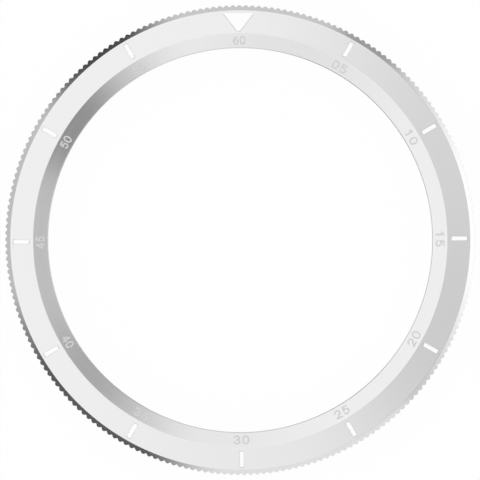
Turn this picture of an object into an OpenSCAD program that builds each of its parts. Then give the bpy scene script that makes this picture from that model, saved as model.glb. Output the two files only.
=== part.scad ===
// Rotating timing bezel of a diver's watch, seen as it comes off the bench: a seat
// ring that presses over the neck of the watch case, and a coin-edged ring that
// clicks round on it and carries a two-sloped insert with luminous markers.
// All sizes are in millimetres. The origin is the centre of the seat ring's lower
// face, +Z points at the wearer and +Y at the sixty-minute marker.

/* [Ring] */
// Diameter of the seat ring's bore, which is pressed over the case neck
bore_d = 32.7; // [28:0.1:38]
// Thickness of the skirt, out to the tips of the coin edge
skirt_t = 0.7; // [0.6:0.05:0.9]
// Radial width of the sloped rim between the insert and the tips
rim_w = 0.47; // [0.35:0.01:0.6]
// Slope of the rim
rim_angle = 40; // [30:1:50]
// Gap between the skirt's lower edge and the case
skirt_lift = 0.3; // [0.15:0.05:0.5]
// Size of the chamfer under the skirt
skirt_chamfer = 0.3; // [0.1:0.05:0.5]

/* [Coin edge] */
// Number of teeth round the coin edge
edge_teeth = 225; // [180:15:240]
// Angle from sixty minutes to the nearest tooth, clockwise
edge_turn = 0.24; // [0:0.02:1.6]
// Depth of the coin edge from tip to valley
edge_depth = 0.18; // [0.12:0.01:0.2]
// Share of the pitch that the round bead of a tooth fills
bead_share = 0.78; // [0.7:0.02:1]

/* [Seat ring] */
// Thickness of the flange that lies on the case
flange_t = 0.5; // [0.4:0.05:0.8]
// Wall of the neck that the bezel turns on
neck_wall = 0.95; // [0.8:0.05:1.05]
// Gap between the flange's rim and the skirt
flange_gap = 0.15; // [0.1:0.01:0.3]
// Chamfer at the neck's upper and lower edges
neck_chamfer = 0.08; // [0.03:0.01:0.1]

/* [Running fit] */
// Radial clearance between the neck and the bezel ring
running_gap = 0.05; // [0.02:0.01:0.08]
// Wall of the collar that runs round the neck
collar_wall = 0.5; // [0.45:0.05:0.6]
// Gap between the flange and the collar's lower edge
collar_lift = 0.2; // [0.15:0.05:0.3]

/* [Retaining wire] */
// Diameter of the sprung wire that holds the bezel ring on
wire_d = 0.36; // [0.28:0.02:0.4]
// Clearance round the wire in its grooves
wire_gap = 0.03; // [0.02:0.01:0.05]
// Metal of the collar under the wire's groove
wire_land = 0.25; // [0.2:0.05:0.4]
// Angle left open between the wire's two ends
wire_open = 9; // [4:1:30]

/* [Friction gasket] */
// Section diameter of the gasket in the neck's groove
gasket_d = 0.34; // [0.26:0.02:0.4]
// Clearance above, below and behind the gasket
gasket_gap = 0.02; // [0.01:0.01:0.04]
// Metal of the neck above the gasket's groove
gasket_land = 0.16; // [0.12:0.01:0.25]

/* [Ratchet] */
// Number of click positions in a full turn
clicks = 120; // [60:60:120]
// Height of the ratchet teeth
click_depth = 0.25; // [0.2:0.01:0.3]
// Flat land left on each tooth at the inner edge, as an angle
click_land = 0.25; // [0.1:0.05:0.5]
// Radial width of the ratchet ring
ratchet_w = 1.39; // [1.25:0.01:1.6]
// Thickness of the ratchet ring above its teeth
ratchet_back = 0.3; // [0.25:0.05:0.5]
// Gap at the ratchet ring's inner and outer walls
ratchet_gap = 0.03; // [0.02:0.01:0.06]

/* [Click spring] */
// Thickness of the spring sheet
spring_t = 0.12; // [0.1:0.01:0.15]
// Free height between the spring and the ratchet teeth
spring_room = 0.53; // [0.45:0.01:0.6]
// Number of tangs bent up from the spring
tangs = 3; // [2:1:4]
// Angle at which a tang is bent up
tang_angle = 12; // [11:0.5:15]
// Width of a tang
tang_w = 0.5; // [0.4:0.05:0.6]
// Width of the slot cut round a tang
tang_slot = 0.1; // [0.06:0.01:0.15]
// Gap between a tang and the teeth that it stands between
tang_gap = 0.05; // [0.03:0.01:0.1]
// Margin between the spring and the rim of the flange
spring_margin = 0.05; // [0.03:0.01:0.1]
// Radius of the pins that stop the spring turning
pin_r = 0.3; // [0.25:0.01:0.35]
// Depth of a pin in the flange
pin_depth = 0.35; // [0.25:0.05:0.4]
// Height of a pin above the spring
pin_head = 0.1; // [0.05:0.05:0.2]

/* [Insert] */
// Thickness of the shelf that carries the insert
shelf_t = 0.57; // [0.5:0.01:0.8]
// Thickness of the adhesive film
glue_t = 0.08; // [0.05:0.01:0.12]
// Width of shelf left bare outside the adhesive film
glue_margin = 0.4; // [0.2:0.05:0.6]
// Width of seat ring that shows inside the insert
insert_setback = 0.04; // [0.04:0.01:0.3]
// Thickness of the insert at its inner edge
insert_lip = 0.31; // [0.25:0.01:0.4]
// Height of the ridge above the inner edge
inner_drop = 0.65; // [0.5:0.01:0.9]
// Height of the ridge above the outer edge
outer_drop = 0.42; // [0.2:0.01:0.5]
// Radial width of the outer slope, which carries the markers
outer_band = 1.93; // [1.9:0.01:2.1]
// Clearance round the insert in its recess
insert_gap = 0.02; // [0.01:0.01:0.05]
// Gap between the insert and the top of the neck
lip_gap = 0.15; // [0.1:0.01:0.2]

/* [Markers] */
// Margin between the bars and the insert's outer edge
bar_margin = 0.22; // [0.15:0.01:0.35]
// Length of a bar marker
bar_len = 1.37; // [1:0.01:1.4]
// Width of a bar marker
bar_w = 0.37; // [0.25:0.01:0.5]
// Radius of a bar's corners
bar_round = 0.03; // [0.02:0.01:0.1]
// Margin between the triangle and the insert's outer edge
triangle_margin = 0.2; // [0.15:0.01:0.22]
// Width of the triangle marker at its base
triangle_w = 2.72; // [1.8:0.01:3]
// Length of the triangle marker to its sharp corner
triangle_len = 1.75; // [1.2:0.01:1.77]
// Radius of the triangle's corners
triangle_round = 0.12; // [0.06:0.01:0.15]
// Depth of the markers' pockets
pocket_depth = 0.3; // [0.2:0.01:0.4]
// Clearance round a marker in its pocket
pocket_gap = 0.01; // [0.005:0.005:0.02]
// Height of the markers above the slope
marker_proud = 0.02; // [0:0.01:0.04]

/* [Hidden] */
// Facets of large circles, of small round pieces, and of beads and corners
$fn = 180;
small_fn = 32;
bead_fn = 24;
minutes = [5 : 5 : 55];
// Angle of one minute, and the places of the triangle, a tang and the wire's opening
minute_turn = -360 / 60;
top_turn = 90;
tang_turn = 30;
wire_turn = 270;

function two_digits(m) = m < 10 ? str("0", m) : str(m);
function bar_name(m) = str("lume_bar_", two_digits(m));

// Radii, from the bore outwards to the tips, and back over the insert
bore_r = bore_d / 2;
neck_r = bore_r + neck_wall;
collar_bore_r = neck_r + running_gap;
collar_r = collar_bore_r + collar_wall;
ratchet_in = collar_r + ratchet_gap;
ratchet_out = ratchet_in + ratchet_w;
skirt_r = ratchet_out + ratchet_gap;
flange_r = skirt_r - flange_gap;
tip_r = skirt_r + skirt_t;
valley_r = tip_r - edge_depth;
insert_r = tip_r - rim_w;
recess_r = insert_r + insert_gap;
ridge_r = insert_r - outer_band;
insert_bore_r = bore_r + insert_setback;

// Heights, stacked from the case upwards
spring_top = flange_t + spring_t;
collar_z = flange_t + collar_lift;
click_tip_z = spring_top + spring_room;
click_root_z = click_tip_z + click_depth;
shelf_z = click_root_z + ratchet_back;
shelf_top = shelf_z + shelf_t;
insert_z = shelf_top + glue_t;
inner_edge_z = insert_z + insert_lip;
ridge_z = inner_edge_z + inner_drop;
outer_edge_z = ridge_z - outer_drop;
neck_top = insert_z - lip_gap;

// Grooves for the wire and the gasket
wire_r = wire_d / 2;
wire_mid_r = (neck_r + collar_bore_r) / 2;
wire_groove = wire_r + wire_gap;
wire_z = collar_z + wire_land + wire_groove;
gasket_r = gasket_d / 2;
gasket_mid_r = collar_bore_r - gasket_gap - gasket_r;
gasket_groove = gasket_r + gasket_gap;
gasket_z = neck_top - gasket_land - gasket_groove;

// Ratchet and spring
click_pitch = 360 / clicks;
notch_w = 2 * ratchet_in * sin((click_pitch - click_land) / 2);
spring_in = neck_r + flange_gap;
spring_out = flange_r - spring_margin;
tang_r = collar_r + flange_gap + tang_w / 2;
tang_tip_z = click_tip_z - tang_gap + notch_w * tan(tang_angle);
tang_len = (tang_tip_z - flange_t - spring_t * cos(tang_angle)) / sin(tang_angle);
pin_mid_r = (spring_in + spring_out) / 2;
cut = 1;

// Outline of the coin edge: a round bead for each tooth on a plain disc
module coin_outline() {
    bead_r = bead_share * PI * tip_r / edge_teeth;
    circle(r = valley_r);
    for (i = [0 : edge_teeth - 1])
        rotate(top_turn - edge_turn + i * 360 / edge_teeth)
            translate([tip_r - bead_r, 0])
                circle(r = bead_r, $fn = bead_fn);
}

// Section of the bezel ring out to the tips, with the wire's groove in its collar
module bezel_section() {
    difference() {
        polygon([
            [collar_bore_r, collar_z], [collar_r, collar_z],
            [collar_r, shelf_z], [skirt_r, shelf_z],
            [skirt_r, skirt_lift], [tip_r - skirt_chamfer, skirt_lift],
            [tip_r, skirt_lift + skirt_chamfer],
            [tip_r, outer_edge_z - (tip_r - recess_r) * tan(rim_angle)],
            [recess_r, outer_edge_z], [recess_r, shelf_top],
            [collar_bore_r, shelf_top]
        ]);
        translate([wire_mid_r - wire_groove, wire_z - wire_groove])
            square(2 * wire_groove);
    }
}

// Bezel ring: the section turned round, cut to the coin edge's outline
module bezel_ring() {
    color("silver")
        intersection() {
            rotate_extrude() bezel_section();
            linear_extrude(height = ridge_z) coin_outline();
        }
}

// Seat ring: flange and neck with the wire's and gasket's grooves and the pins' holes
module seat_ring() {
    color("gainsboro")
        difference() {
            rotate_extrude()
                difference() {
                    polygon([
                        [bore_r, neck_chamfer], [bore_r + neck_chamfer, 0],
                        [flange_r, 0], [flange_r, flange_t],
                        [neck_r, flange_t], [neck_r, neck_top - neck_chamfer],
                        [neck_r - neck_chamfer, neck_top],
                        [bore_r + neck_chamfer, neck_top],
                        [bore_r, neck_top - neck_chamfer]
                    ]);
                    translate([wire_mid_r - wire_groove, wire_z - wire_groove])
                        square(2 * wire_groove);
                    translate([gasket_mid_r - gasket_groove, gasket_z - gasket_groove])
                        square([neck_wall, 2 * gasket_groove]);
                }
            pin_places()
                translate([0, 0, flange_t - pin_depth])
                    cylinder(r = pin_r + pocket_gap, h = flange_t, $fn = small_fn);
        }
}

// Places its children at each spring pin, half way between two tangs
module pin_places() {
    for (i = [0 : tangs - 1])
        rotate(tang_turn + (i + 0.5) * 360 / tangs)
            translate([pin_mid_r, 0, 0])
                children();
}

// Places its children at each tang's tip, with X pointing back along the tang
module tang_places() {
    for (i = [0 : tangs - 1])
        rotate(tang_turn + i * 360 / tangs)
            translate([tang_r, -tang_gap, 0])
                rotate(-90)
                    children();
}

// Click spring: a flat ring with windows from which the tangs are bent up
module click_spring() {
    reach = tang_len * cos(tang_angle);
    color("steelblue")
        union() {
            difference() {
                translate([0, 0, flange_t])
                    difference() {
                        cylinder(r = spring_out, h = spring_t);
                        translate([0, 0, -cut])
                            cylinder(r = spring_in, h = spring_t + 2 * cut);
                    }
                tang_places()
                    translate([-tang_slot, -tang_w / 2 - tang_slot, 0])
                        cube([reach + tang_slot, tang_w + 2 * tang_slot, click_tip_z]);
                pin_places()
                    cylinder(r = pin_r + ratchet_gap, h = click_tip_z, $fn = small_fn);
            }
            tang_places()
                translate([reach, -tang_w / 2, flange_t])
                    rotate([0, tang_angle, 0])
                        translate([-tang_len, 0, 0])
                            cube([tang_len, tang_w, spring_t]);
        }
}

module spring_pins() {
    color("dimgray")
        pin_places()
            translate([0, 0, flange_t - pin_depth])
                cylinder(r = pin_r, h = pin_depth + spring_t + pin_head, $fn = small_fn);
}

module neck_gasket() {
    color("black")
        translate([0, 0, gasket_z])
            rotate_extrude()
                translate([gasket_mid_r, 0])
                    circle(r = gasket_r, $fn = small_fn);
}

// Radial notch of the ratchet, upright on the side that stops the tangs
module click_notch() {
    translate([ratchet_in - cut, 0, 0])
        rotate([90, 0, 90])
            linear_extrude(height = ratchet_out - ratchet_in + 2 * cut)
                polygon([
                    [0, click_root_z],
                    [-notch_w, click_tip_z],
                    [-notch_w, click_tip_z - cut],
                    [0, click_tip_z - cut]
                ]);
}

// Ratchet ring under the shelf, its notches cut from below
module ratchet_ring() {
    color("slategray")
        difference() {
            translate([0, 0, click_tip_z])
                difference() {
                    cylinder(r = ratchet_out, h = shelf_z - click_tip_z);
                    translate([0, 0, -cut])
                        cylinder(r = ratchet_in, h = shelf_z - click_tip_z + 2 * cut);
                }
            for (i = [0 : clicks - 1])
                rotate(i * click_pitch)
                    click_notch();
        }
}

// Split wire that sits half in the collar's groove and half in the neck's
module retaining_wire() {
    color("lightsteelblue")
        rotate(wire_turn + wire_open / 2)
            translate([0, 0, wire_z])
                rotate_extrude(angle = 360 - wire_open)
                    translate([wire_mid_r, 0])
                        circle(r = wire_r, $fn = small_fn);
}

// Adhesive film between the shelf and the insert
module insert_adhesive() {
    color("khaki")
        translate([0, 0, shelf_top])
            difference() {
                cylinder(r = insert_r - glue_margin, h = glue_t);
                translate([0, 0, -cut])
                    cylinder(r = collar_r, h = glue_t + 2 * cut);
            }
}

// Section of the outer slope between two offsets from its face
module slope_section(low, high) {
    polygon([
        [ridge_r, ridge_z + low], [insert_r, outer_edge_z + low],
        [insert_r, outer_edge_z + high], [ridge_r, ridge_z + high]
    ]);
}

// Rounds the corners of a marker's outline and grows it by a clearance
module eased(corner, gap) {
    offset(r = corner + gap, $fn = bead_fn)
        offset(delta = -corner)
            children();
}

module bar_outline(gap) {
    eased(bar_round, gap)
        translate([-bar_w / 2, insert_r - bar_margin - bar_len])
            square([bar_w, bar_len]);
}

module triangle_outline(gap) {
    y_out = insert_r - triangle_margin;
    eased(triangle_round, gap)
        polygon([
            [-triangle_w / 2, y_out], [triangle_w / 2, y_out],
            [0, y_out - triangle_len]
        ]);
}

// A marker on the slope: its outline cut out of a layer parallel to the face
module marker(low, high) {
    intersection() {
        rotate_extrude() slope_section(low, high);
        linear_extrude(height = ridge_z + cut) children();
    }
}

// Insert: a ring with two slopes that meet in the ridge, and the markers' pockets
module insert_ring() {
    color("whitesmoke")
        difference() {
            rotate_extrude()
                polygon([
                    [insert_bore_r, insert_z], [insert_r, insert_z],
                    [insert_r, outer_edge_z], [ridge_r, ridge_z],
                    [insert_bore_r, inner_edge_z]
                ]);
            for (m = minutes)
                rotate(minute_turn * m)
                    marker(-pocket_depth, cut) bar_outline(pocket_gap);
            marker(-pocket_depth, cut) triangle_outline(pocket_gap);
        }
}

module lume_triangle() {
    color("white")
        marker(-pocket_depth, marker_proud) triangle_outline(0);
}

module lume_bar(m) {
    color("white")
        rotate(minute_turn * m)
            marker(-pocket_depth, marker_proud) bar_outline(0);
}

seat_ring();
click_spring();
spring_pins();
neck_gasket();
bezel_ring();
ratchet_ring();
retaining_wire();
insert_adhesive();
insert_ring();
lume_triangle();
for (m = minutes)
    lume_bar(m);
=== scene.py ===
# %% [markdown]
# # The bezel of a diver's watch
#
# A timing bezel is the ring round the crystal of a diver's watch. A seat ring is
# pressed over the neck of the case and never moves. A coin-edged ring clicks round on
# it, and carries a steel insert with two slopes, twelve white markers and the minutes
# in fives.
#
# The construction comes packed as a frame in metres, with its origin at the centre of
# the seat ring's lower face, +Z towards the wearer and +Y at the sixty-minute marker.
# This lesson dresses that frame: it turns, mills and paints the pieces that show, and
# gives the hidden ones the metal that they are really made of.

# %% The frame
import math
import bpy
import numpy as np
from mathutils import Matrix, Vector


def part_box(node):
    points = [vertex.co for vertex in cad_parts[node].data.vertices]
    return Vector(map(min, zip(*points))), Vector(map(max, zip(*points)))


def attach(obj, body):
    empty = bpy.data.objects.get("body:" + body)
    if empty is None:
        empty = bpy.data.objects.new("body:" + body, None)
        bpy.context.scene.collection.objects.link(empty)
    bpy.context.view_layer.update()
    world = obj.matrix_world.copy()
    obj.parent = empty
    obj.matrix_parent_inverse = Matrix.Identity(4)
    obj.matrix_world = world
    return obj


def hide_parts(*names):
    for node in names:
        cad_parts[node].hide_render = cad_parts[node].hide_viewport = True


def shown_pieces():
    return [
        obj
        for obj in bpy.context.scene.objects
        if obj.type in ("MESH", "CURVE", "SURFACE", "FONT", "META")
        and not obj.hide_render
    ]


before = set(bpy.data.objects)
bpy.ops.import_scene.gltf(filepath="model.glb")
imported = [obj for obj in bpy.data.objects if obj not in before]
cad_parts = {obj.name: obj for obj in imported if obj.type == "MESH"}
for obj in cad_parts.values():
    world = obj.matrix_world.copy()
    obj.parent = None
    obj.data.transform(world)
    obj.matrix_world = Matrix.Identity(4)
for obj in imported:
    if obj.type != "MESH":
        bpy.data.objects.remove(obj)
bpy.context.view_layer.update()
MM = 0.001
print("nodes in the frame:", len(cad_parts))

# %% [markdown]
# ## Taking the measures
#
# A bench hand takes each size off the blank before cutting. Here the blank is the
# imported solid: each corner of its mesh lies on a turned edge, so its distance from the
# axis and its height give that edge's place. Reading the sizes back this way, and not
# writing them down twice, keeps every dressed piece on the piece that carries it.

# %% Radii and heights of a blank's edges
# Corners that are no further than this from a circle, in mm, lie on it
NEAR = 0.002


def corners_of(name):
    """x, y and z of every corner of a CAD node, in mm."""
    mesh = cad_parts[name].data
    points = np.empty(len(mesh.vertices) * 3)
    mesh.vertices.foreach_get("co", points)
    return points.reshape(-1, 3).T / MM


def edges_of(name):
    """Distance from the axis, and height, of every corner of a CAD node, in mm."""
    x, y, z = corners_of(name)
    return np.hypot(x, y).round(3), z.round(3)


def heights_on(r, z, circle):
    """The different heights of the corners that lie on one circle, lowest first."""
    return np.unique(z[np.abs(r - circle) < NEAR])


r, z = edges_of("insert_ring")
insert_in, insert_out, insert_low = r.min(), r.max(), z.min()
ridge_r, ridge_z = r[z.argmax()], z.max()
inner_z = heights_on(r, z, insert_in)[-1]
outer_z = heights_on(r, z, insert_out)[-1]
print("insert", insert_in, "to", insert_out, "mm, ridge", ridge_r, "at", ridge_z)

# %% The coin-edged ring's edges
r, z = edges_of("bezel_ring")
collar_in, tip_r = r.min(), r.max()
collar_low, wire_low, wire_high, shelf_top = heights_on(r, z, collar_in)
collar_out = r[z == collar_low].max()
wire_out = r[(z == wire_low) & (r < collar_out)].max()
recess_r, rim_z = r[z.argmax()], z.max()
tip_low, tip_high = heights_on(r, z, tip_r)[[0, -1]]
skirt_low = z.min()
skirt_in, foot_r = r[z == skirt_low].min(), r[z == skirt_low].max()
shelf_low = heights_on(r, z, skirt_in)[-1]
# Well above the foot and well below the tips there are only the valleys' lower ends
MARGIN = 0.02
valley_r = r[(z > skirt_low + MARGIN) & (z < tip_low - MARGIN)].min()
rim_fall = (rim_z - tip_high) / (tip_r - recess_r)
print("tips", tip_r, "valleys", valley_r)
print("rim falls", round(math.degrees(math.atan(rim_fall)), 1), "degrees")

# %% The seat ring's edges
r, z = edges_of("seat_ring")
bore_r, flange_r, neck_z = r.min(), r.max(), z.max()
neck_edge = heights_on(r, z, bore_r)[0]
flange_z = heights_on(r, z, flange_r)[-1]
neck_r = r[z == flange_z].min()
neck_heights = heights_on(r, z, neck_r)
seat_wire, seat_gasket = neck_heights[1:3], neck_heights[3:5]
seat_wire_r = r[z == seat_wire[0]].min()
seat_gasket_r = r[z == seat_gasket[0]].min()
print("bore", bore_r, "neck", neck_r, "flange", flange_r, "mm")

# %% [markdown]
# ## From arrays to solids
#
# Turned pieces are grids: one row of points for each section round the axis, one
# column for each corner of the section. The whole grid is worked out at once with
# numpy, and both directions close on themselves, so there is no seam to weld. A Screw
# modifier would do for plain rings, but it can't change the section from tooth to
# tooth, as the coin edge needs.

# %% A mesh from points and faces
# Edges that bend by more than this stay crisp, as they do on cut metal
CREASE = math.radians(35)


def solid(name, points, faces):
    """A mesh object from points in mm, shaded smooth between its crisp edges."""
    mesh = bpy.data.meshes.new(name)
    mesh.from_pydata((points * MM).tolist(), [], faces)
    mesh.polygons.foreach_set("use_smooth", np.ones(len(mesh.polygons), bool))
    mesh.set_sharp_from_angle(angle=CREASE)
    mesh.update()
    made = bpy.data.objects.new(name, mesh)
    bpy.context.scene.collection.objects.link(made)
    return made


def grid_faces(rows, columns, closed=(True, True)):
    """Quads between neighbours of a grid whose points are numbered row by row. With u
    running from row to row and v along a row, each face points along du x dv."""
    i, j = np.meshgrid(np.arange(rows - (not closed[0])),
                       np.arange(columns - (not closed[1])), indexing="ij")
    down, on = (i + 1) % rows, (j + 1) % columns
    quads = [i * columns + j, down * columns + j, down * columns + on, i * columns + on]
    return np.stack(quads, -1).reshape(-1, 4).tolist()


def turned(name, angle, section):
    """A closed ring: the section stands at each angle t round the axis, and a corner
    (r, z) of it becomes (r cos t, r sin t, z). The section runs anticlockwise with r
    to the right, so the faces point outwards."""
    t = angle[:, None]
    every = np.broadcast_to(section, (len(angle),) + section.shape[-2:])
    radius, height = every.transpose(2, 0, 1)
    points = np.stack([radius * np.cos(t), radius * np.sin(t), height], -1)
    return solid(name, points.reshape(-1, 3), grid_faces(*radius.shape))


# %% [markdown]
# Real metal has no perfectly sharp corner: the tool or the polishing wheel leaves a
# small round, and that round is what catches the light as a thin bright line. Each
# visible corner of a section is eased before it is turned. A pair of extra corners
# beside each round keeps the shading of the flats flat.

# %% Rounding a section's corners
# The extra corners stand this many times a round's size from the sharp corner
HOLD = 1.6


def eased(corners, size, steps=3):
    """Replaces each corner C of closed sections by a curve from A to B, the points
    that lie `size` mm from it along its two edges: (1-t)^2 A + 2t(1-t) C + t^2 B.
    A size of nought leaves the corner sharp. An extra corner stands outside A and one
    outside B."""
    before, after = np.roll(corners, 1, -2) - corners, np.roll(corners, -1, -2) - corners
    before = before / np.linalg.norm(before, axis=-1, keepdims=True)
    after = after / np.linalg.norm(after, axis=-1, keepdims=True)
    t = np.linspace(0, 1, steps + 1)
    made = []
    for k, cut in enumerate(size):
        corner, back, on = corners[..., k, :], before[..., k, :], after[..., k, :]
        if cut:
            made.append(corner + HOLD * cut * back)
            made += [corner + cut * ((1 - s) ** 2 * back + s ** 2 * on) for s in t]
            made.append(corner + HOLD * cut * on)
        else:
            made.append(corner)
    return np.stack(made, -2)


# The first section stands a little past the x axis, so that none runs through the
# middle of a marker or a pin hole, where a Boolean would leave edges of no length
SECTIONS, PAST = 720, math.radians(0.1)
ROUND = np.linspace(0, 2 * math.pi, SECTIONS, endpoint=False) + PAST
print("a plain ring has", SECTIONS, "sections")

# %% [markdown]
# ## The coin edge
#
# The grip of a bezel is milled with a form cutter, tooth by tooth. Each tooth is a
# small round bead whose foot runs out in a fillet, and seen from above the two make a
# wave with round tops and narrow valleys. Cutting 225 teeth with Booleans would be
# slow and would leave ragged normals, so the radius of the ring is written as a
# function of the angle instead, and the rim's slope, the wall and the chamfer below
# follow that radius.

# %% The radius round the edge
TEETH = 225
COLUMNS = 10
# A hair of a tenth of a micrometre keeps the tips inside the frame's box
HAIR = 0.0001
phase = np.arange(TEETH * COLUMNS) * 2 * math.pi / COLUMNS
# The tips point where the blank's do: their bearing is the phase of the mean of
# e^(i n t) over the blank's outermost corners, with n teeth and t the corners' angles
x, y = corners_of("bezel_ring")[:2]
tips = np.arctan2(y, x)[np.hypot(x, y) > tip_r - NEAR]
first_tip = np.angle(np.exp(1j * TEETH * tips).mean()) / TEETH
edge_angle = first_tip + phase / TEETH
# The wave: tip less depth times (1 - w), with w = ((1 + cos phase) / 2) ^ FULLNESS. A
# fullness of one gives a plain cosine, and less gives round tops and narrow valleys
FULLNESS = 0.62
wave = ((1 + np.cos(phase)) / 2) ** FULLNESS
reach = tip_r - HAIR - (tip_r - valley_r) * (1 - wave)
print(TEETH, "teeth,", round(2 * math.pi * tip_r / TEETH, 3), "mm apart, first tip at",
      round(math.degrees(first_tip), 3), "degrees,", len(reach), "sections")

# %% The ring under the edge
edge_corners = np.array([
    (collar_in, collar_low), (collar_out, collar_low), (collar_out, shelf_low),
    (skirt_in, shelf_low), (skirt_in, skirt_low), (foot_r, skirt_low),
    (tip_r, tip_low), (tip_r, tip_high), (recess_r, rim_z), (recess_r, shelf_top),
    (collar_in, shelf_top), (collar_in, wire_high), (wire_out, wire_high),
    (wire_out, wire_low), (collar_in, wire_low),
])
# The wall's foot and its head are the two corners that follow the wave
FOOT, HEAD = 6, 7
edge_sections = np.repeat(edge_corners[None], len(reach), 0)
edge_sections[:, [FOOT, HEAD], 0] = reach[:, None]
edge_sections[:, FOOT, 1] = tip_low - (tip_r - reach)
edge_sections[:, HEAD, 1] = tip_high + (tip_r - reach) * rim_fall
# Only the foot, the head and the rim's inner edge are rounded, by these sizes in mm
edge_ease = [0] * FOOT + [0.05, 0.022, 0.004] + [0] * 6
coin_ring = turned("coin_edged_ring", edge_angle, eased(edge_sections, edge_ease, 2))
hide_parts("bezel_ring")
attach(coin_ring, "bezel")
print(coin_ring.name, len(coin_ring.data.polygons), "faces")

# %% [markdown]
# ## The markers' outlines
#
# Twelve pockets are milled into the insert's outer slope and filled with luminous
# compound: a triangle at sixty, a bar at every five minutes. An end mill can't leave
# a sharp inside corner, so each outline has rounded corners. One function gives the
# outline for any clearance, so that the pocket and the filling always match.


# %% An outline with rounded corners
def marker_outline(corners, radius, grow, bend=6, along=10):
    """A convex plate's outline, anticlockwise: each corner moves inwards along its
    bisector until it is its `radius` from both edges, and an arc of radius + grow
    stands round it, from one edge's outward normal to the next. Points are also set
    along the edges, so that a wide marker can follow the round slope."""
    corners = np.array(corners, float)
    radius = np.broadcast_to(radius, len(corners))[:, None]
    edge = np.roll(corners, -1, 0) - corners
    out = np.stack([edge[:, 1], -edge[:, 0]], -1) / np.linalg.norm(edge, axis=1)[:, None]
    last = np.roll(out, 1, 0)
    middle = corners - radius * (out + last) / (1 + (out * last).sum(1, keepdims=True))
    start = np.arctan2(last[:, 1], last[:, 0])
    sweep = (np.arctan2(out[:, 1], out[:, 0]) - start) % (2 * math.pi)
    a = start[:, None] + sweep[:, None] * np.linspace(0, 1, bend + 1)
    arcs = middle[:, None] + (radius + grow)[:, None] * np.stack([np.cos(a), np.sin(a)], -1)
    t = np.linspace(0, 1, along + 2)[1:-1, None]
    straight = arcs[:, -1:] * (1 - t) + np.roll(arcs, -1, 0)[:, :1] * t
    return np.concatenate([arcs, straight], 1).reshape(-1, 2)


minutes = range(5, 61, 5)
low, high = [np.array(p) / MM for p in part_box("lume_bar_30")]
bar = [(low[0], -high[1]), (high[0], -high[1]), (high[0], -low[1]), (low[0], -low[1])]
low, high = [np.array(p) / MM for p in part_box("lume_triangle")]
# The base and the length of the triangle, in mm, are those of its sharp corners
BASE, LENGTH = 2.72, 1.75
# The corners' radii in mm: the triangle's tip is rounder than the ends of its base
CORNER = {m: (0.08, 0.22, 0.08) if m == 60 else 0.03 for m in minutes}


def triangle(raised):
    """The triangle's corners with its base raised, and its two long sides where they
    were: the base grows with the distance from the sharp corner."""
    half = BASE / 2 * (LENGTH + raised) / LENGTH
    return [(-half, high[1] + raised), (0, high[1] - LENGTH), (half, high[1] + raised)]


plan = marker_outline(triangle(0), CORNER[60], 0)
print("triangle", (np.ptp(plan, 0)).round(3), "mm, frame's", (high - low)[:2].round(3))


# %% A plug of that outline on the slope
def outer_slope(radius):
    """Height of the insert's outer slope at a distance from the axis, on the straight
    line from the ridge to the outer edge."""
    return ridge_z + (radius - ridge_r) * (outer_z - ridge_z) / (insert_out - ridge_r)


def plug(rings, tops, turn, first=0):
    """Points and faces of a closed plug whose outline is given ring by ring, from the
    foot upwards and over the top. Each ring's height is the slope's height at its own
    distance from the axis plus that ring's top value. The plug is turned round the
    axis by `turn`, and closed with a point in the middle of its foot and its crown."""
    ring = np.stack(rings)
    count = ring.shape[1]
    middle = np.repeat(ring[:1].mean(1, keepdims=True), 2, 0)
    flat = np.concatenate([middle[:1, 0], ring.reshape(-1, 2), middle[1:, 0]])
    lift = np.concatenate([tops[:1], np.repeat(tops, count), tops[-1:]])
    height = outer_slope(np.hypot(*flat.T)) + lift
    c, s = math.cos(turn), math.sin(turn)
    points = np.stack([c * flat[:, 0] - s * flat[:, 1],
                       s * flat[:, 0] + c * flat[:, 1], height], -1)
    walls = np.array(grid_faces(len(ring), count, (False, True))) + 1
    i = np.arange(count)
    on = (i + 1) % count
    top = 1 + (len(ring) - 1) * count
    foot = np.stack([0 * i, on + 1, i + 1], -1)
    crown = np.stack([0 * i + len(flat) - 1, top + i, top + on], -1)
    parts = (walls[:, ::-1], foot, crown)
    return points, [face for part in parts for face in (part + first).tolist()]


# A minute is six degrees, clockwise
marker_turn = {m: math.radians(-6 * m) for m in minutes}
print(len(marker_turn), "markers")

# %% [markdown]
# ## The insert
#
# The insert is turned from one steel ring: a shallow outer slope for the markers and a
# steeper inner slope for the numerals, meeting in a ridge that is just broken with a
# stone. Its outer edge is broken too, and it is tapped home in its recess, so no gap
# shows round it. The pockets are the only cut that isn't round, so here a Boolean is
# the right tool: one cutter with all twelve plugs, used once and thrown away.

# %% Turning the insert
# It fills its recess but for this much all round, in mm
FIT = 0.002
seated = recess_r - FIT
# How much the stone takes off the outer edge in mm, and the slope that it leaves. The
# slope draws a fine line beside the rim wherever the tent is dark at that height
STONE, TILT = 0.022, math.radians(30)
broken_r = seated - STONE
broken_z = outer_z + STONE * (ridge_z - outer_z) / (seated - ridge_r)
insert_corners = np.array([
    (insert_in, insert_low), (seated, insert_low),
    (seated, broken_z - STONE * math.tan(TILT)), (broken_r, broken_z),
    (ridge_r, ridge_z), (insert_in, inner_z),
])
# Each corner's round in mm: the ridge is the fifth, and the inner edge the last
insert_ease = [0.02, 0.02, 0, 0.002, 0.012, 0.008]
insert = turned("sloped_insert", ROUND, eased(insert_corners, insert_ease))
print(insert.name, len(insert.data.polygons), "faces before the pockets are milled")

# %% Milling the pockets
# A pocket's outline stands this far outside the marker's, in mm, and its filling's as
# far inside it, so that a fine groove runs between them. Only at its base, next to the
# rim, does the triangle fit tightly. The cutter's outline has no points along its
# straight sides, because they would leave slivers in the slope
GROOVE = 0.010
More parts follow.
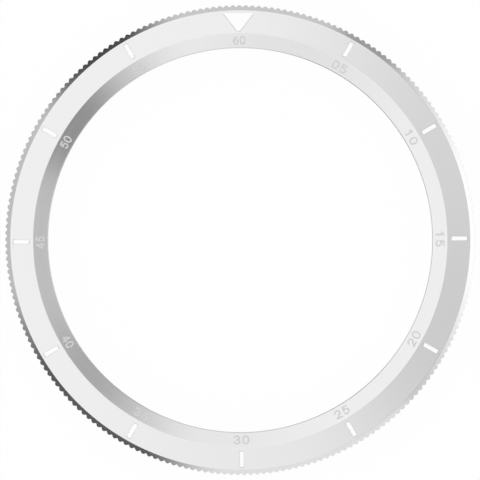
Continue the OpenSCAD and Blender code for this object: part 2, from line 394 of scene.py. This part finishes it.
# The cutter reaches from the pockets' floors to well above the slope, in mm from it
DEEP, OVER = 0.30, 0.40
points, faces = [], []
for m in minutes:
    shape = triangle(-GROOVE) if m == 60 else bar
    outline = marker_outline(shape, CORNER[m], GROOVE, along=0)
    corners, sides = plug([outline, outline], np.array([-DEEP, OVER]), marker_turn[m],
                          sum(len(p) for p in points))
    points.append(corners)
    faces += sides
cutter = solid("pocket_cutter", np.concatenate(points), faces)


def cut_away(piece, tool):
    """Takes the tool out of the piece for good, and crisps the new edges."""
    cut = piece.modifiers.new("cut", "BOOLEAN")
    cut.operation, cut.solver, cut.object = "DIFFERENCE", "EXACT", tool
    bpy.context.view_layer.update()
    seen = piece.evaluated_get(bpy.context.evaluated_depsgraph_get())
    mesh = bpy.data.meshes.new_from_object(seen)
    piece.modifiers.clear()
    piece.data = mesh
    mesh.set_sharp_from_angle(angle=CREASE)
    bpy.data.objects.remove(tool)


cut_away(insert, cutter)
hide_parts("insert_ring")
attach(insert, "bezel")
print(insert.name, len(insert.data.polygons), "faces with the pockets")

# %% [markdown]
# ## The luminous fillings
#
# The compound is pigment in clear lacquer. It is dosed into the pocket with a needle,
# and its surface tension draws it up into a faint crown that stands just proud of the
# metal. Each filling is a plug of the pocket's outline, a little smaller, whose last
# rings step inwards and upwards along a quarter of an ellipse.

# %% Filling the pockets
# In mm: where the crown starts above the slope, where its edge ends and how far it
# steps in meanwhile, and the air under the filling and behind the triangle's base
PROUD, CROWN, STEP_IN = 0.002, 0.010, 0.018
UNDER, BEHIND = 0.010, 0.002
# The two rings inside the crown's edge: their share of its size and their rise over it
INNER = ((0.7, 0.002), (0.35, 0.003))
step = np.linspace(0, math.pi / 2, 4)
shrink = STEP_IN * (1 - np.cos(step))
rise = PROUD + (CROWN - PROUD) * np.sin(step)
for m in minutes:
    shape = triangle(GROOVE - BEHIND) if m == 60 else bar
    name = "lume_triangle" if m == 60 else f"lume_bar_{m:02d}"
    rings = [marker_outline(shape, CORNER[m], -GROOVE - s) for s in (0, *shrink)]
    centre = rings[-1].mean(0)
    rings += [centre + (rings[-1] - centre) * share for share, _ in INNER]
    tops = np.concatenate([[UNDER - DEEP], rise, [CROWN + more for _, more in INNER]])
    points, faces = plug(rings, tops, marker_turn[m])
    filling = solid(name.replace("lume", "filled"), points, faces)
    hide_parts(name)
    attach(filling, "bezel")
print("last filling has", len(faces), "faces")

# %% [markdown]
# ## The numerals
#
# The minutes are pad-printed in pale grey lacquer on the inner slope, in plain
# grotesque figures with an even stroke. Their tops point outwards from forty-five
# minutes round to fifteen, and inwards from twenty to forty, so that they read upright.
# A font would bring its own outlines, so each figure is drawn as a sign writer would:
# with strokes of one brush, along lines and arcs in a box one unit high.


# %% Strokes of the brush
def arc(x, y, wide, tall, start, end, count=24, power=2.0):
    """Points on a superellipse round (x, y): with c the cosine and s the sine of the
    angle in degrees, x + wide sign(c)|c|^(2/power), y + tall sign(s)|s|^(2/power)."""
    a = np.radians(np.linspace(start, end, count))
    c, s = np.cos(a), np.sin(a)
    return np.stack([x + wide * np.sign(c) * np.abs(c) ** (2 / power),
                     y + tall * np.sign(s) * np.abs(s) ** (2 / power)], -1)


def line(*points, count=10):
    """Points spread evenly along each straight piece between the given corners."""
    points = np.array(points, float)
    t = np.linspace(0, 1, count)[:, None]
    pieces = [a * (1 - t[:-1]) + b * t[:-1] for a, b in zip(points[:-1], points[1:])]
    return np.concatenate(pieces + [points[-1:]])


def join(*pieces):
    """One stroke from several pieces that meet end to end."""
    return np.concatenate([pieces[0]] + [piece[1:] for piece in pieces[1:]])


FIGURES = {
    "0": [arc(0.36, 0.5, 0.28, 0.43, 0, 345, 40, 2.3)],
    "1": [line((0.16, 0.72), (0.37, 0.93)), line((0.37, 0.93), (0.37, 0.07))],
    "2": [join(arc(0.35, 0.66, 0.26, 0.27, 170, -35), line((0.563, 0.505), (0.09, 0.07))),
          line((0.09, 0.07), (0.64, 0.07))],
    "3": [arc(0.34, 0.70, 0.24, 0.23, 155, -90), arc(0.34, 0.30, 0.28, 0.23, 90, -155)],
    "4": [line((0.50, 0.93), (0.06, 0.29)), line((0.06, 0.29), (0.68, 0.29)),
          line((0.50, 0.93), (0.50, 0.07))],
    "5": [line((0.59, 0.93), (0.18, 0.93)), line((0.18, 0.93), (0.13, 0.50)),
          arc(0.345, 0.345, 0.28, 0.275, 142, -150, 28)],
    "6": [arc(0.36, 0.345, 0.28, 0.275, 0, 345, 32), arc(0.66, 0.345, 0.58, 0.585, 108, 180, 18)],
}
# The strokes that close on themselves, by figure and place
LOOPS = {("0", 0), ("6", 0)}
print("figures drawn:", " ".join(sorted(FIGURES)))

# %% [markdown]
# A stroke becomes a ribbon: at each point the brush's width is laid out along the
# line's normal. Open strokes end in a half round, because the width there shrinks as
# the root of what is left. The ribbon is bent round the axis and laid on the slope.
# Where two strokes of a figure cross, the second lies a hair higher, as wet lacquer
# over dry, so that no two faces share one place.

# %% The brush
# The brush's half width in a figure's box, and the lacquer's thickness in mm, with what
# each stroke that crosses another adds to it
BRUSH, LACQUER, LAYER = 0.090, 0.008, 0.002
# The points of a half-round end, as shares of the brush's half width past the end, and
# the places and heights of the five points across a ribbon
END = np.array([0.98, 0.8, 0.45])
ACROSS = np.array([-1.0, -0.8, 0.0, 0.8, 1.0])
SWELL = np.array([-0.02, 0.7, 1.0, 0.7, -0.02])


def inner_slope(radius):
    """Height of the insert's inner slope at a distance from the axis, on the straight
    line from the inner edge to the ridge."""
    return inner_z + (radius - insert_in) * (ridge_z - inner_z) / (ridge_r - insert_in)


def run_out(end, last):
    """Points on a stroke's line past its end, the furthest first: E + share * brush *
    the direction from the point before the end to E."""
    return end + BRUSH * END[:, None] * (end - last) / np.linalg.norm(end - last)


def ribbon(path, loop, layer):
    """A stroke as a grid of points (x, y) and of heights: five across the brush, from
    one foot over the crown to the other. The tangent T is the difference of
    neighbours, the normal N is T turned left, and a point is P + across * width * N,
    where the width of an end is brush * sqrt(1 - share^2)."""
    width = np.full(len(path), BRUSH)
    if loop:
        tangent = np.roll(path, -1, 0) - np.roll(path, 1, 0)
    else:
        cap = BRUSH * np.sqrt(1 - END ** 2)
        width = np.concatenate([cap, width, cap[::-1]])
        path = np.concatenate([run_out(path[0], path[1]), path,
                               run_out(path[-1], path[-2])[::-1]])
        tangent = np.gradient(path, axis=0)
    tangent = tangent / np.linalg.norm(tangent, axis=1)[:, None]
    normal = np.stack([-tangent[:, 1], tangent[:, 0]], -1)
    flat = path[:, None] + (ACROSS[:, None] * normal[:, None]) * width[:, None, None]
    return flat, np.broadcast_to(SWELL * (LACQUER + LAYER * layer), flat.shape[:2])


print("a straight stroke has", len(ribbon(FIGURES["1"][1], False, 0)[0]), "rows")

# %% Painting the minutes
# The middle of a figure's box, the height in mm that it is scaled to, and the circle
# that the middles of the numbers stand on
MIDDLE, TALL, NUMBERS_R = (0.36, 0.5), 0.72, 16.99
# The scale of a figure's width, and the distance from one figure to the next, in mm:
# from forty to sixty the figures are narrower and stand closer
NARROW, WIDE = (0.67, 0.575), (0.84, 0.75)
# How far a number stands clockwise of its marker's middle, in mm
ASIDE = {5: 0.09, 10: -0.19, 15: 0.02, 25: -0.04, 30: 0.03, 40: -0.01, 45: -0.06,
         50: -0.06, 60: 0.04}


def paint(text, turn, outwards, wide, apart):
    """Both figures of a number as one mesh. A point (x, y) of a figure, in mm from the
    middle of the number, lands at the radius middle + y and x / radius further round,
    clockwise where the tops point outwards. Where they don't, it lands at middle - y
    and anticlockwise."""
    points, faces = [], []
    facing = 1 if outwards else -1
    for place, figure in enumerate(text):
        for layer, path in enumerate(FIGURES[figure]):
            loop = (figure, layer) in LOOPS
            flat, over = ribbon(path, loop, layer)
            x = (flat[..., 0] - MIDDLE[0]) * wide + (place - 0.5) * apart
            radius = NUMBERS_R + facing * (flat[..., 1] - MIDDLE[1]) * TALL
            angle = turn - facing * x / radius
            laid = [radius * np.cos(angle), radius * np.sin(angle), inner_slope(radius) + over]
            first = sum(len(p) for p in points)
            points.append(np.stack(laid, -1).reshape(-1, 3))
            corner = first + np.arange(radius.size).reshape(radius.shape)
            faces += (np.array(grid_faces(*radius.shape, (loop, True))) + first).tolist()
            if not loop:
                faces += [corner[0].tolist(), corner[-1, ::-1].tolist()]
    return solid(f"minutes_{text}", np.concatenate(points), faces)


for m in minutes:
    spot = math.pi / 2 + marker_turn[m] - ASIDE.get(m, 0) / NUMBERS_R
    number = paint(f"{m:02d}", spot, not 20 <= m <= 40, *(NARROW if m >= 40 else WIDE))
    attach(number, "bezel")
print("last number has", len(number.data.polygons), "faces")

# %% [markdown]
# ## The seat ring
#
# Inside the insert a thin line of the seat ring's neck shows, a little lower and so a
# little darker; its steel is also painted darker, as shade. It is a plain turned piece:
# a flange that lies on the case, a neck with a groove for the wire and one for the
# gasket, and three holes in the flange for the pins that hold the click spring.

# %% Turning the seat ring
# The chamfer in the bore's mouth is a little flatter than 45 degrees, so that it
# mirrors the foot of the tent opposite and not the other side of the bore
MOUTH = math.radians(36.5)
seat_corners = np.array([
    (bore_r, neck_edge), (bore_r + neck_edge, 0), (flange_r, 0), (flange_r, flange_z),
    (neck_r, flange_z), (neck_r, seat_wire[0]), (seat_wire_r, seat_wire[0]),
    (seat_wire_r, seat_wire[1]), (neck_r, seat_wire[1]), (neck_r, seat_gasket[0]),
    (seat_gasket_r, seat_gasket[0]), (seat_gasket_r, seat_gasket[1]),
    (neck_r, seat_gasket[1]), (neck_r, neck_z - neck_edge), (neck_r - neck_edge, neck_z),
    (bore_r + neck_edge / math.tan(MOUTH), neck_z), (bore_r, neck_z - neck_edge),
])
# The first four corners are the flange's and the last four the top of the neck's, and
# both are rounded by these sizes in mm. The nine of the wall and its grooves stay sharp
seat_ease = [0.015, 0.015, 0.04, 0.04] + [0] * 9 + [0.015, 0.015, 0.006, 0.006]
seat = turned("turned_seat_ring", ROUND, eased(seat_corners, seat_ease, 2))
print(seat.name, len(seat.data.polygons), "faces before it is drilled")

# %% Drilling for the pins
# The pins' bearings in degrees, their clearance and the drill's top in mm, and the
# number of its sides
BEARINGS, PIN_FIT, DRILL_TOP, SIDES = (90, 210, 330), 0.01, 1.0, 32
pin_r, pin_z = edges_of("spring_pins")
pins_r, drill_r = (pin_r.min() + pin_r.max()) / 2, np.ptp(pin_r) / 2 + PIN_FIT
t = np.linspace(0, 2 * math.pi, SIDES, endpoint=False)
drill = drill_r * np.stack([np.cos(t), np.sin(t)], -1)
points, faces = [], []
for bearing in np.radians(BEARINGS):
    spot = pins_r * np.array([math.cos(bearing), math.sin(bearing)])
    pillar = [np.column_stack([drill + spot, np.full(SIDES, level)])
              for level in (pin_z.min(), DRILL_TOP)]
    corner = sum(len(p) for p in points) + np.arange(2 * SIDES).reshape(2, SIDES)
    points.append(np.concatenate(pillar))
    walls = np.array(grid_faces(2, SIDES, (False, True)))[:, ::-1] + corner[0, 0]
    faces += walls.tolist() + [corner[0, ::-1].tolist(), corner[1].tolist()]
cut_away(seat, solid("pin_drill", np.concatenate(points), faces))
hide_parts("seat_ring")
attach(seat, "seat")
print(seat.name, len(seat.data.polygons), "faces with its holes")

# %% [markdown]
# ## Materials
#
# One helper adds a node with its settings and its inputs. An input is either a number
# or the socket that feeds it, so a material reads from top to bottom like a recipe.
# Colours are written as sRGB hex, as they are usually picked, and turned to the linear
# values that a shader works in.


# %% Helpers for materials
def linear(colour):
    """sRGB hex to linear: c / 12.92 up to 0.04045, else ((c + 0.055) / 1.055)^2.4."""
    c = np.array([int(colour[k:k + 2], 16) for k in (1, 3, 5)]) / 255
    c = np.where(c <= 0.04045, c / 12.92, ((c + 0.055) / 1.055) ** 2.4)
    return (*c.tolist(), 1.0)


def add(tree, kind, feeds=(), **settings):
    """Adds a node, sets its own settings, and fills or links its inputs. Of a Mix node,
    the two numbers go in at 2 and 3, and the two colours at 6 and 7."""
    made = tree.nodes.new("ShaderNode" + kind)
    for name, value in settings.items():
        setattr(made, name, value)
    for socket, value in dict(feeds).items():
        if isinstance(value, bpy.types.NodeSocket):
            tree.links.new(value, made.inputs[socket])
        else:
            made.inputs[socket].default_value = value
    return made


def begin(name, colour, metallic=0.0):
    """A material with nothing but a Principled shader wired to its output."""
    made = bpy.data.materials.new(name)
    made.use_nodes = True
    tree = made.node_tree
    tree.nodes.clear()
    shader = add(tree, "BsdfPrincipled", {"Base Color": linear(colour), "Metallic": metallic})
    add(tree, "OutputMaterial", {"Surface": shader.outputs[0]})
    return made, tree, shader


# Most of a noise lies between these two values
FAINT, STRONG = 0.3, 0.7


def worked(tree, shader, noise, rough, spread, depth):
    """Lets one noise f shape a surface twice: its roughness runs from rough - spread to
    rough + spread as f runs from faint to strong, and its height is depth mm times f."""
    polish = add(tree, "MapRange", {
        "Value": noise, "From Min": FAINT, "From Max": STRONG,
        "To Min": rough - spread, "To Max": rough + spread}).outputs[0]
    relief = add(tree, "Bump", {"Strength": 1.0, "Distance": depth * MM, "Height": noise})
    tree.links.new(polish, shader.inputs["Roughness"])
    tree.links.new(relief.outputs[0], shader.inputs["Normal"])


print("white is", linear("#FFFFFF"))

# %% [markdown]
# ## Turned steel
#
# Stainless steel that has been turned and then satin finished carries fine rings
# round the axis. They are too fine to see one by one, and show as a soft spread of the
# reflection. The pattern is a noise whose coordinates are the distance from the axis
# and the height, each divided by the spacing of the marks, and, much slower, the
# cosine and sine of the angle, so that a mark runs a long way round before it fades
# and there is no seam where the angle starts again.

# %% Turned and satin finished steel
# How far the noise moves on round the ring: the lower this is, the longer a mark runs
DRIFT = 2.5


def turned_steel(name, colour, rough, spread, spacing, depth):
    """Steel with marks round the axis: a noise of (r / spacing, z / spacing, drift sin t,
    drift cos t), with r the distance from the axis, z the height and t the angle.
    spacing and depth are the size of a mark in mm. The nodes for r and z are handed
    back with the shader, for what comes on top."""
    made, tree, shader = begin(name, colour, 1.0)
    place = add(tree, "TexCoord").outputs["Object"]
    x, y, up = add(tree, "SeparateXYZ", {0: place}).outputs
    level = add(tree, "CombineXYZ", {0: x, 1: y}).outputs[0]
    away = add(tree, "VectorMath", {0: level}, operation="LENGTH").outputs["Value"]
    angle = add(tree, "Math", {0: y, 1: x}, operation="ARCTAN2").outputs[0]
    sine, cosine = [add(tree, "Math", {0: angle}, operation=kind).outputs[0]
                    for kind in ("SINE", "COSINE")]
    fine = 1 / (spacing * MM)
    across, along, by_sine, by_cosine = [
        add(tree, "Math", {0: value, 1: scale}, operation="MULTIPLY").outputs[0]
        for value, scale in ((away, fine), (up, fine), (sine, DRIFT), (cosine, DRIFT))]
    mark = add(tree, "CombineXYZ", {0: across, 1: along, 2: by_sine}).outputs[0]
    noise = add(tree, "TexNoise", {"Vector": mark, "W": by_cosine, "Scale": 1.0,
                                   "Detail": 3.0, "Roughness": 0.6},
                noise_dimensions="4D").outputs[0]
    worked(tree, shader, noise, rough, spread, depth)
    return made, tree, shader, away, up


# Marks of a tool or a wheel are about 0.02 mm apart, and are drawn five to eight times
# as coarse, because nothing finer than a pixel shows. They spread a reflection into a
# soft sheen. The neck is left as it was turned, and its colour is painted darker than
# the insert's, as shade on the bore and on the thin line inside the insert
insert_steel = turned_steel("stainless steel, satin turned", "#E8E8E8",
                            0.19, 0.02, 0.12, 0.0002)[0]
# The seat ring's darker colour is painted shade for its bore and the line inside the insert
seat_steel_with_painted_shade = turned_steel("stainless steel, fine turned, painted darker as shade", "#CCCCCC",
                          0.18, 0.03, 0.15, 0.0002)[0]
print("turned:", insert_steel.name, "and", seat_steel_with_painted_shade.name)

# %% [markdown]
# ## Milled steel with a polished rim
#
# The coin edge is milled first, and its rim is polished afterwards on a wheel. The wheel
# reaches only the rim's slope, so the wall between the teeth keeps the cutter's duller
# finish, and the slope above it gives crisp reflections. The wall is also given a darker
# colour, as painted shade in the valleys between the teeth. Two materials on one mesh
# would change along the edges of its faces. One sum changes them in the material
# instead: a point's height plus its distance from the axis times the slope's fall is the
# same all over the slope, and less anywhere below it.

# %% Where the wheel has been, and the painted shade below it
# The second colour is painted shade on the wall between the teeth
POLISHED, WALL_PAINTED_SHADE = "#E6E6E6", "#C2C2C2"
# How much rougher the cutter leaves the steel, and over how many mm one finish turns
# into the other
ROUGHER, CHANGE = 0.14, 0.010
edge_steel, tree, shader, away, up = turned_steel(
    "stainless steel, milled, with a polished rim", POLISHED, 0.11, 0.02, 0.10, 0.0001)
slope_sum = (tip_high + tip_r * rim_fall) * MM
own_sum = add(tree, "Math", {0: away, 1: rim_fall, 2: up}, operation="MULTIPLY_ADD").outputs[0]
rim_polish_and_wall_shade = add(tree, "MapRange", {"Value": own_sum, "From Min": slope_sum - CHANGE * MM,
                               "From Max": slope_sum}).outputs[0]
# Below the polished slope the colour turns darker: painted shade between the teeth
tone = add(tree, "Mix", {0: rim_polish_and_wall_shade, 6: linear(WALL_PAINTED_SHADE), 7: linear(POLISHED)}, data_type="RGBA")
tree.links.new(tone.outputs[2], shader.inputs["Base Color"])
wheel = shader.inputs["Roughness"].links[0].from_socket
cutter_left = add(tree, "Math", {0: wheel, 1: ROUGHER}, operation="ADD").outputs[0]
polish = add(tree, "Mix", {0: rim_polish_and_wall_shade, 2: cutter_left, 3: wheel}).outputs[0]
tree.links.new(polish, shader.inputs["Roughness"])
for piece, steel in ((insert, insert_steel), (coin_ring, edge_steel), (seat, seat_steel_with_painted_shade)):
    piece.data.materials.append(steel)
print("three steels turned")

# %% [markdown]
# ## Rolled, ground and drawn steel
#
# The hidden pieces aren't turned. The click spring is stamped from rolled strip, whose
# grain runs straight across the whole sheet, so it looks streaked. The pins are ground
# and the wire is drawn, with short fine streaks. The ratchet ring is milled, which
# leaves it evenly frosted. One noise gives all four, stretched along the grain.


# %% Steel with a straight grain
def grained_steel(name, colour, rough, spread, grain, depth):
    """Steel with a straight grain: the noise is scaled by one over the grain's size in
    mm along each axis, so a long size gives a long streak."""
    made, tree, shader = begin(name, colour, 1.0)
    place = add(tree, "TexCoord").outputs["Object"]
    scale = [1 / (g * MM) for g in grain]
    drawn = add(tree, "Mapping", {"Vector": place, "Scale": scale}, vector_type="POINT")
    noise = add(tree, "TexNoise", {"Vector": drawn.outputs[0], "Scale": 1.0,
                                   "Detail": 4.0}).outputs[0]
    worked(tree, shader, noise, rough, spread, depth)
    return made


# Each piece: its steel and colour, the roughness and its spread, the grain's size in mm
# along x, y and z, and the grain's depth in mm
GRAINED = {
    "click_spring": ("spring steel, rolled strip", "#C9C6C0",
                     0.28, 0.05, (2.0, 0.06, 0.06), 0.0008),
    "spring_pins": ("hardened steel, ground", "#B9B8B6",
                    0.22, 0.04, (0.05, 0.05, 0.6), 0.0005),
    "ratchet_ring": ("stainless steel, milled", "#CFCDC9",
                     0.30, 0.05, (0.08, 0.08, 0.08), 0.0012),
    "retaining_wire": ("spring wire, drawn", "#C4C3C1",
                       0.20, 0.04, (0.25, 0.25, 0.04), 0.0004),
}
hidden = {name: grained_steel(*kind) for name, kind in GRAINED.items()}
print("straight-grained steels:", len(hidden))

# %% [markdown]
# ## Rubber, film, lume and lacquer
#
# The gasket is moulded nitrile rubber: nearly black, matt, with the mould's fine
# grain. The adhesive film is a honey-coloured acrylic with a soft gloss. The luminous
# compound is a chalky white powder in lacquer: matt, with grains that just break the
# surface. The figures' lacquer is a pale grey, flatter than the metal, so it looks dark
# where the metal mirrors something bright and light where it mirrors something dark.


# %% Materials that scatter light
def scattering(name, colour, shade, rough, grain, depth, spread=0.05):
    """A plain surface with a grain: by one noise f its colour is colour * (1 - f) +
    shade * f, and it rises and falls. grain and depth are in mm."""
    made, tree, shader = begin(name, colour)
    place = add(tree, "TexCoord").outputs["Object"]
    noise = add(tree, "TexNoise", {"Vector": place, "Scale": 1 / (grain * MM),
                                   "Detail": 3.0}).outputs[0]
    tone = add(tree, "Mix", {0: noise, 6: linear(colour), 7: linear(shade)}, data_type="RGBA")
    tree.links.new(tone.outputs[2], shader.inputs["Base Color"])
    worked(tree, shader, noise, rough, spread, depth)
    return made


hidden["neck_gasket"] = scattering("nitrile rubber, moulded", "#1D1D1C", "#262625",
                                   0.62, 0.05, 0.002)
hidden["insert_adhesive"] = scattering("acrylic adhesive film", "#D8C79A", "#CDBA8B",
                                       0.45, 0.2, 0.002)
lume = scattering("luminous compound, cast in lacquer", "#FCFCFC", "#F9F9F9",
                  0.72, 0.04, 0.0010)
lacquer = scattering("grey lacquer, pad printed", "#D5D5D5", "#CFCFCF", 0.55, 0.05, 0.0005)
for name, material in hidden.items():
    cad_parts[name].material_slots[0].material = material
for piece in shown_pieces():
    if piece.name.startswith("filled_"):
        piece.data.materials.append(lume)
    if piece.name.startswith("minutes_"):
        piece.data.materials.append(lacquer)
print("materials in all:", len(bpy.data.materials))

# %% [markdown]
# ## The studio
#
# Satin steel has no look of its own: it shows the room. A watch is photographed in a
# light tent, a dome of white cloth, with paler and darker cards hung in it where the
# metal needs a line. The bezel's three slopes look at three heights of that tent.
# Seen from straight above, the outer slope mirrors the cloth at 66 degrees above the
# table, the inner slope the cloth opposite it at 30 degrees, and the steep rim the
# cloth at 10 degrees. So the tent is written as bands of height, each with a plain
# brightness and its own cards, and between two of them runs a brighter band that no
# slope mirrors, to light the paint.

# %% Cloth and cards
# Each band: name, height in degrees where it starts, softness, brightness, and cards
# as (azimuth, half width, softness, brightness) in degrees
TENT = (
    ("rim", 3, 1.5, 0.72, (
        (4, 28, 20, 1.28), (56, 8, 5, 0.40), (127.65, 15.75, 8, 0.065), (-137, 30.2, 8, 0.112),
        (-72, 27, 5, 0.93), (172, 28, 15, 0.64))),
    ("numerals", 18, 4, 1.03, (
        (5, 68, 14, 0.56), (-35, 13, 7, 0.25), (40, 12, 11, 0.39), (-105, 24, 24, 0.89),
        (84, 18, 18, 0.95))),
    ("paint", 42, 3, 1.76, ()),
    ("markers", 53, 3, 1.05, ((-6, 66, 36, 0.78), (-23, 24, 24, 0.70), (-88, 26, 26, 0.98))),
    ("top", 79, 4, 0.90, ()),
)
world = bpy.data.worlds.new("light tent")
bpy.context.scene.world = world
world.use_nodes = True
tent = world.node_tree
tent.nodes.clear()
look = add(tent, "SeparateXYZ", {0: add(tent, "TexCoord").outputs["Generated"]}).outputs
azimuth = add(tent, "Math", {0: look[1], 1: look[0]}, operation="ARCTAN2").outputs[0]
height = add(tent, "Math", {0: look[2]}, operation="ARCSINE").outputs[0]


def towards(before, after, measure, edge, soft, falling=False):
    """Mixes two brightnesses of the tent: before where the measure is below the edge,
    and after above it, or the other way round where it is falling. The step between
    them is smooth and as wide as twice the softness. Angles in degrees."""
    ends = [math.radians(edge - soft), math.radians(edge + soft)]
    low, high = reversed(ends) if falling else ends
    step = add(tent, "MapRange", {"Value": measure, "From Min": low, "From Max": high},
               interpolation_type="SMOOTHSTEP")
    return add(tent, "Mix", {0: step.outputs[0], 2: before, 3: after}).outputs[0]


# Under the lowest band the cloth is plain white
cloth = 1.0
for name, start, soft, bright, cards in TENT:
    band = bright
    for middle, half, blur, shade in cards:
        # The angle from the middle of the card, the short way round
        aside = azimuth
        for operation, more in (("SUBTRACT", {1: math.radians(middle)}),
                                ("WRAP", {1: math.pi, 2: -math.pi}), ("ABSOLUTE", {})):
            aside = add(tent, "Math", {0: aside, **more}, operation=operation).outputs[0]
        band = towards(band, shade, aside, half, blur, falling=True)
    cloth = towards(cloth, band, height, start, soft)
    print("band for the", name, "from", start, "degrees,", len(cards), "cards")
glow = add(tent, "Background", {"Color": linear("#FFFFFF"), "Strength": cloth})
add(tent, "OutputWorld", {"Surface": glow.outputs[0]})

# %% [markdown]
# ## The table
#
# The table is a sheet of pale acrylic. The picture shows it as plain white, so for
# the rays that come from the camera, off metal and through clear things most of it
# glows with a strength of one. The rest is left to the light, which keeps the bezel's
# faint shadow on it. The sheet is a round grid that falls away softly at its rim.

# %% A white sheet
# The grid's rings and spokes, and in mm: its radius, how far it lies below the bezel
# and how far its rim has fallen below its middle
RINGS, SPOKES = 24, 96
SHEET_R, BELOW, FALL = 3000.0, 0.02, 40.0
# Ring k of n stands at the radius R (k / n)^2 and the height -below - fall (r / R)^8
far = SHEET_R * (np.arange(1, RINGS + 1)[:, None] / RINGS) ** 2
t = np.linspace(0, 2 * math.pi, SPOKES, endpoint=False)
level = np.repeat(-BELOW - FALL * (far / SHEET_R) ** 8, SPOKES, 1)
disc = np.stack([far * np.cos(t), far * np.sin(t), level], -1).reshape(-1, 3)
quads = np.array(grid_faces(RINGS, SPOKES, (False, True))) + 1
on = np.arange(SPOKES)
fan = np.stack([0 * on, on + 1, (on + 1) % SPOKES + 1], -1)
sheet = solid("table", np.concatenate([[[0, 0, -BELOW]], disc]), quads.tolist() + fan.tolist())
print("table of", len(sheet.data.polygons), "faces")

# %% Its white glow
# The share of the sheet's look that glows, for the rays that see it directly
GLOW = 0.97
acrylic, tree, shader = begin("acrylic sheet, matt white", "#F2F2F1")
shader.inputs["Roughness"].default_value = 0.8
shader.inputs["Specular IOR Level"].default_value = 0.2
path = add(tree, "LightPath").outputs
seen = path["Is Camera Ray"]
for ray in ("Is Glossy Ray", "Is Transmission Ray"):
    seen = add(tree, "Math", {0: seen, 1: path[ray]}, operation="MAXIMUM").outputs[0]
share = add(tree, "Math", {0: seen, 1: GLOW}, operation="MULTIPLY").outputs[0]
white = add(tree, "Emission", {"Color": linear("#FFFFFF"), "Strength": 1.0}).outputs[0]
both = add(tree, "MixShader", {0: share, 1: shader.outputs[0], 2: white}).outputs[0]
out = [node for node in tree.nodes if node.type == "OUTPUT_MATERIAL"][0]
tree.links.new(both, out.inputs["Surface"])
sheet.data.materials.append(acrylic)
print("the sheet is", acrylic.name)

# %% [markdown]
# ## The camera
#
# The picture is taken from straight above with a long lens, so that the ring hardly
# tapers. At 1 m the tips of the coin edge fill all but five pixels at each side. The
# ring stands turned by nearly half a degree in the picture, and a hair right of and
# below its middle, so the camera is rolled and moved by that much the other way.

# %% Looking straight down
# In mm: how much the frame covers at the tips, and how high the camera stands over them
FRAME_WIDE, AWAY = 40.820, 1000.0
# How far the camera is moved, in mm, and rolled, in degrees
LEFT, UP, ROLL = 0.017, 0.012, -0.45
camera = bpy.data.cameras.new("camera above the ring")
camera.sensor_width = 36.0
# The lens is to the sensor's width as the distance is to the frame's
camera.lens = camera.sensor_width * AWAY / FRAME_WIDE
camera.clip_start, camera.clip_end = 0.05, 20.0
stand = bpy.data.objects.new("camera", camera)
bpy.context.scene.collection.objects.link(stand)
stand.location = (-LEFT * MM, UP * MM, (AWAY + tip_high) * MM)
stand.rotation_euler = (0, 0, math.radians(ROLL))
bpy.context.scene.camera = stand
bpy.context.scene.view_settings.view_transform = "Standard"
print("lens", round(camera.lens), "mm")
